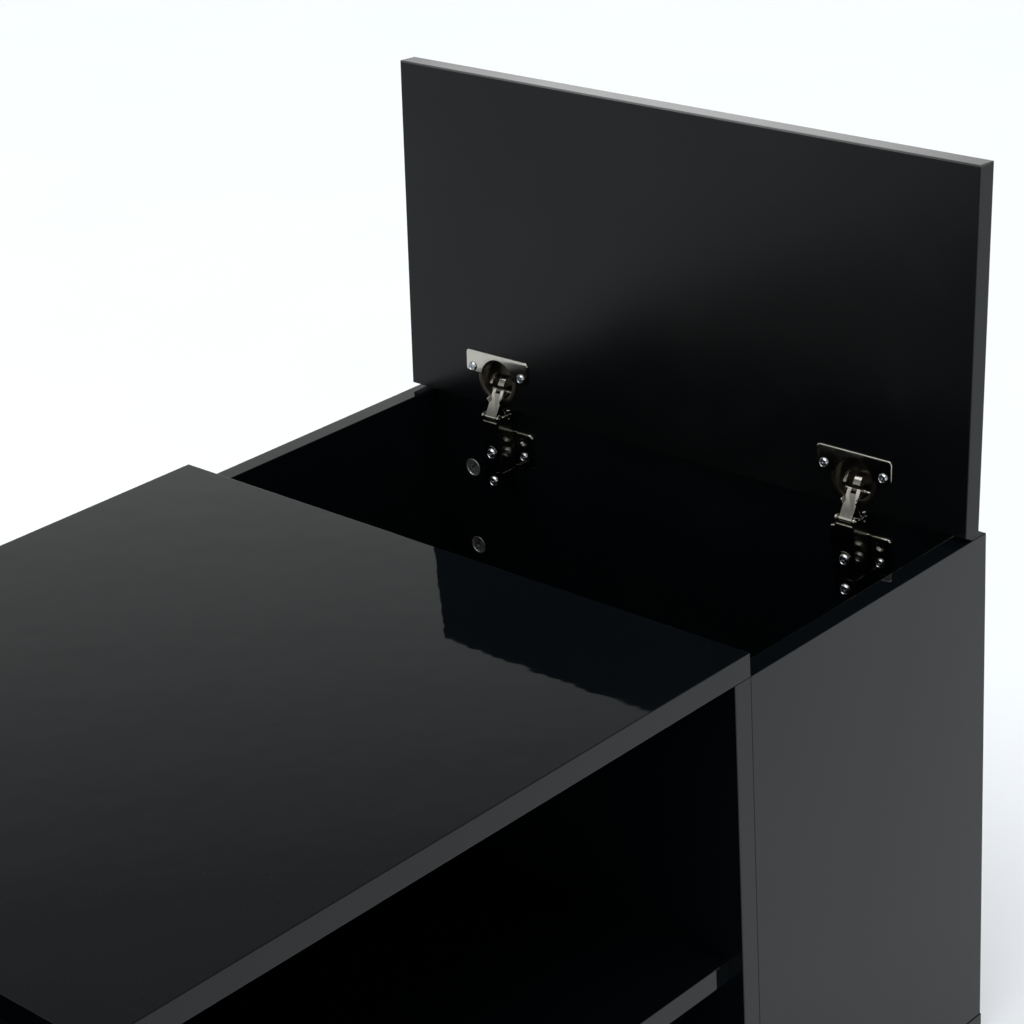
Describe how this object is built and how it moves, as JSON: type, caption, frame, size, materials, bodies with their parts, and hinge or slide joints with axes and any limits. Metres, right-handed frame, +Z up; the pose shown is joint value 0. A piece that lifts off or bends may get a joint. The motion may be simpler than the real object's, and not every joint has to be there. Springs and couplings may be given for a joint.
{
  "type": "lift top coffee table",
  "caption": "Low black coffee table with a fixed gloss top, an open two-tier niche, and a storage compartment under a flip-up lid at each end.",
  "frame": {"origin": "on the floor under the middle of the table", "axes": "+X along the length, towards the right end as seen from the open niche; +Y towards the back; +Z up"},
  "size_m": [1.0072, 0.501, 0.6457],
  "materials": {
    "gloss_board": "high gloss black lacquer on board",
    "lid_board": "satin black melamine on board",
    "satin_board": "satin black melamine on board",
    "hinge_nickel": "bright nickel plate",
    "zinc_screws": "bright zinc plate",
    "zinc_casting": "die-cast zinc",
    "beech": "raw beech",
    "glide_plastic": "moulded"
  },
  "bodies": {
    "table": {"arm_pins": "hinge_nickel", "arm_screws": "zinc_screws", "back_panel_left": "satin_board", "back_panel_right": "satin_board", "bottom_board": "satin_board", "cam_bolts": "zinc_screws", "cam_locks": "zinc_casting", "centre_back_panel": "satin_board", "end_panel_left": "satin_board", "end_panel_right": "satin_board", "front_panel_left": "satin_board", "front_panel_right": "satin_board", "glides": "glide_plastic", "hinge_arm_left_back": "hinge_nickel", "hinge_arm_left_front": "hinge_nickel", "hinge_arm_right_back": "hinge_nickel", "hinge_arm_right_front": "hinge_nickel", "hinge_plate_left_back": "hinge_nickel", "hinge_plate_left_front": "hinge_nickel", "hinge_plate_right_back": "hinge_nickel", "hinge_plate_right_front": "hinge_nickel", "panel_dowels": "beech", "partition_left": "satin_board", "partition_right": "satin_board", "plate_screws": "zinc_screws", "seam_dowels": "beech", "shelf": "satin_board", "shelf_pins": "zinc_screws", "top_panel": "gloss_board"},
    "right_lid": {"cup_pins_right": "hinge_nickel", "cup_screws_right": "zinc_screws", "hinge_cup_right_back": "hinge_nickel", "hinge_cup_right_front": "hinge_nickel", "lid_right": "lid_board"},
    "left_lid": {"cup_pins_left": "hinge_nickel", "cup_screws_left": "zinc_screws", "hinge_cup_left_back": "hinge_nickel", "hinge_cup_left_front": "hinge_nickel", "lid_left": "lid_board"},
    "right_outer_links": {"outer_link_right_back": "hinge_nickel", "outer_link_right_front": "hinge_nickel"},
    "left_outer_links": {"outer_link_left_back": "hinge_nickel", "outer_link_left_front": "hinge_nickel"},
    "right_inner_links": {"inner_link_right_back": "hinge_nickel", "inner_link_right_front": "hinge_nickel"},
    "left_inner_links": {"inner_link_left_back": "hinge_nickel", "inner_link_left_front": "hinge_nickel"}
  },
  "joints": [
    {"name": "right_outer_link_pivot", "type": "hinge", "parent": "table", "child": "right_outer_links", "pos_m": [0.46816, 0, 0.39229], "axis": [0, -1, 0], "range_deg": [-44.39, 0]},
    {"name": "right_lid_hinge", "type": "hinge", "parent": "right_outer_links", "child": "right_lid", "pos_m": [0.4787, 0, 0.40988], "axis": [0, -1, 0], "range_deg": [0, 137.24]},
    {"name": "right_inner_link_pivot", "type": "hinge", "parent": "right_lid", "child": "right_inner_links", "pos_m": [0.48225, 0, 0.4087], "axis": [0, -1, 0], "range_deg": [-123.13, 0]},
    {"name": "left_outer_link_pivot", "type": "hinge", "parent": "table", "child": "left_outer_links", "pos_m": [-0.46816, 0, 0.39229], "axis": [0, 1, 0], "range_deg": [-44.39, 0]},
    {"name": "left_lid_hinge", "type": "hinge", "parent": "left_outer_links", "child": "left_lid", "pos_m": [-0.4787, 0, 0.40988], "axis": [0, 1, 0], "range_deg": [0, 137.24]},
    {"name": "left_inner_link_pivot", "type": "hinge", "parent": "left_lid", "child": "left_inner_links", "pos_m": [-0.48225, 0, 0.4087], "axis": [0, 1, 0], "range_deg": [-123.13, 0]}
  ],
  "couplings": [
    {"joint": "right_outer_link_pivot", "follows": "right_lid_hinge", "ratio": -0.32308},
    {"joint": "right_inner_link_pivot", "follows": "right_lid_hinge", "ratio": -0.8968},
    {"joint": "left_outer_link_pivot", "follows": "left_lid_hinge", "ratio": -0.32308},
    {"joint": "left_inner_link_pivot", "follows": "left_lid_hinge", "ratio": -0.8968}
  ]
}
